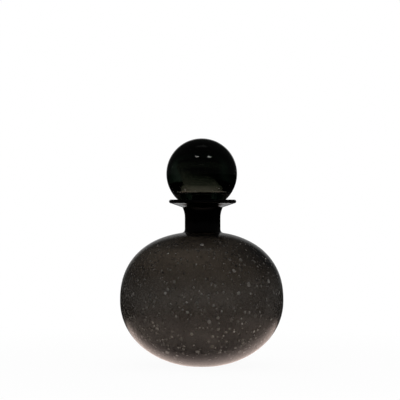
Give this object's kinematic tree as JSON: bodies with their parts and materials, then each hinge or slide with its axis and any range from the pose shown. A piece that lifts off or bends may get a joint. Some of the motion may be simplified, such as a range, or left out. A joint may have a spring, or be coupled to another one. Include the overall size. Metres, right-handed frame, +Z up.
{
  "type": "carafe",
  "caption": "Round dark glass carafe: flattened bulb, short neck with a flat flared lip, and a heavy ball stopper on a ground peg that lifts out. Holds and pours drinks.",
  "frame": {"origin": "middle of the foot, on the surface that the carafe stands on", "axes": "+Z up along the axis that the whole carafe is round about; X and Y lie level and are free"},
  "size_m": [0.142, 0.142, 0.1973],
  "materials": {
    "smoke_glass": "fire-polished smoke glass full of small seed bubbles",
    "stopper_glass": "fire-polished darker smoke glass with a few seed bubbles",
    "ground_glass": "smoke glass ground matt on its tapered side"
  },
  "bodies": {
    "bottle": {"bottle": "smoke_glass"},
    "stopper": {"stopper_ball": "stopper_glass", "stopper_peg": "ground_glass"}
  },
  "joints": [
    {"name": "stopper_lift", "type": "slide", "parent": "bottle", "child": "stopper", "axis": [0, 0, 1], "range_m": [0, 0.06]}
  ]
}
